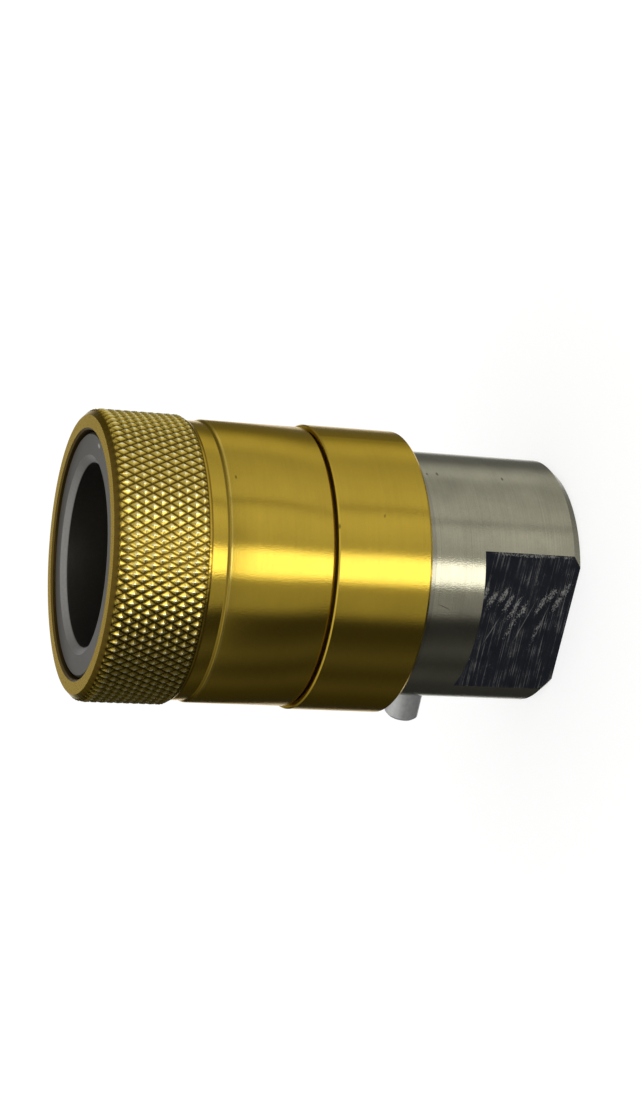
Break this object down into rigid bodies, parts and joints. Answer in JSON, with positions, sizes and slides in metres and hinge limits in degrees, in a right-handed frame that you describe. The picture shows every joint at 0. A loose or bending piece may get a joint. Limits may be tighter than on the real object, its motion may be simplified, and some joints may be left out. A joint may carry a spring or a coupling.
{
  "type": "trailer air brake coupling socket",
  "caption": "Round pull-back ball-lock socket coupling for a trailer air brake line, with a gold knurled sleeve, a steel rear body with spanner flats and a spring-closed valve.",
  "frame": {"origin": "centre of the rear face, where the hose port opens", "axes": "+Z along the coupling's axis towards the mouth, -Y out of the spanner flat that the picture shows, -X along the stop pin"},
  "size_m": [0.0493, 0.046, 0.0774],
  "materials": {
    "gold_sleeve": "gold anodised, turned and knurled",
    "gold_collar": "gold anodised, turned",
    "rear_steel": "turned, with milled flats",
    "socket_steel": "dark turned steel",
    "plated_pin": "bright plated",
    "ball_steel": "polished, hardened",
    "spring_steel": "spring steel, oiled",
    "valve_brass": "turned brass",
    "seal_rubber": "black nitrile rubber"
  },
  "bodies": {
    "root": {"rear_body": "rear_steel", "stop_pin": "plated_pin", "valve_guide": "valve_brass", "valve_spring": "spring_steel", "valve_seat": "valve_brass", "seat_seal": "seal_rubber", "body_seal": "seal_rubber", "socket_body": "socket_steel", "nose_seal": "seal_rubber", "seal_retainer": "spring_steel", "collar_stop_ring": "spring_steel", "sleeve_spring": "spring_steel"},
    "collar": {"rear_collar": "gold_collar", "sleeve_snap_ring": "spring_steel", "collar_wiper": "seal_rubber", "spring_washer": "spring_steel"},
    "sleeve": {"knurled_sleeve": "gold_sleeve"},
    "valve": {"valve_poppet": "valve_brass", "poppet_seal": "seal_rubber"},
    "ball_1": {"locking_ball_1": "ball_steel"},
    "ball_2": {"locking_ball_2": "ball_steel"},
    "ball_3": {"locking_ball_3": "ball_steel"},
    "ball_4": {"locking_ball_4": "ball_steel"},
    "ball_5": {"locking_ball_5": "ball_steel"},
    "ball_6": {"locking_ball_6": "ball_steel"},
    "ball_7": {"locking_ball_7": "ball_steel"},
    "ball_8": {"locking_ball_8": "ball_steel"}
  },
  "joints": [
    {"name": "sleeve_pull", "type": "slide", "parent": "root", "child": "collar", "axis": [0, 0, -1], "range_m": [0, 0.006], "stiffness_N_per_m": 3000, "springref_m": -0.008, "deforming": ["sleeve_spring"]},
    {"name": "sleeve_turn", "type": "hinge", "parent": "collar", "child": "sleeve", "pos_m": [0, 0, 0.0605], "axis": [0, 0, 1], "continuous": true},
    {"name": "valve_push", "type": "slide", "parent": "root", "child": "valve", "axis": [0, 0, -1], "range_m": [0, 0.006], "stiffness_N_per_m": 1000, "springref_m": -0.006, "deforming": ["valve_spring"]},
    {"name": "ball_1_lift", "type": "slide", "parent": "root", "child": "ball_1", "axis": [1, 0, 0], "range_m": [0, 0.0016]},
    {"name": "ball_2_lift", "type": "slide", "parent": "root", "child": "ball_2", "axis": [0.7071, 0.7071, 0], "range_m": [0, 0.0016]},
    {"name": "ball_3_lift", "type": "slide", "parent": "root", "child": "ball_3", "axis": [0, 1, 0], "range_m": [0, 0.0016]},
    {"name": "ball_4_lift", "type": "slide", "parent": "root", "child": "ball_4", "axis": [-0.7071, 0.7071, 0], "range_m": [0, 0.0016]},
    {"name": "ball_5_lift", "type": "slide", "parent": "root", "child": "ball_5", "axis": [-1, 0, 0], "range_m": [0, 0.0016]},
    {"name": "ball_6_lift", "type": "slide", "parent": "root", "child": "ball_6", "axis": [-0.7071, -0.7071, 0], "range_m": [0, 0.0016]},
    {"name": "ball_7_lift", "type": "slide", "parent": "root", "child": "ball_7", "axis": [0, -1, 0], "range_m": [0, 0.0016]},
    {"name": "ball_8_lift", "type": "slide", "parent": "root", "child": "ball_8", "axis": [0.7071, -0.7071, 0], "range_m": [0, 0.0016]}
  ],
  "couplings": [
    {"joint": "ball_1_lift", "follows": "sleeve_pull", "ratio": 0.2666},
    {"joint": "ball_2_lift", "follows": "sleeve_pull", "ratio": 0.2666},
    {"joint": "ball_3_lift", "follows": "sleeve_pull", "ratio": 0.2666},
    {"joint": "ball_4_lift", "follows": "sleeve_pull", "ratio": 0.2666},
    {"joint": "ball_5_lift", "follows": "sleeve_pull", "ratio": 0.2666},
    {"joint": "ball_6_lift", "follows": "sleeve_pull", "ratio": 0.2666},
    {"joint": "ball_7_lift", "follows": "sleeve_pull", "ratio": 0.2666},
    {"joint": "ball_8_lift", "follows": "sleeve_pull", "ratio": 0.2666}
  ]
}
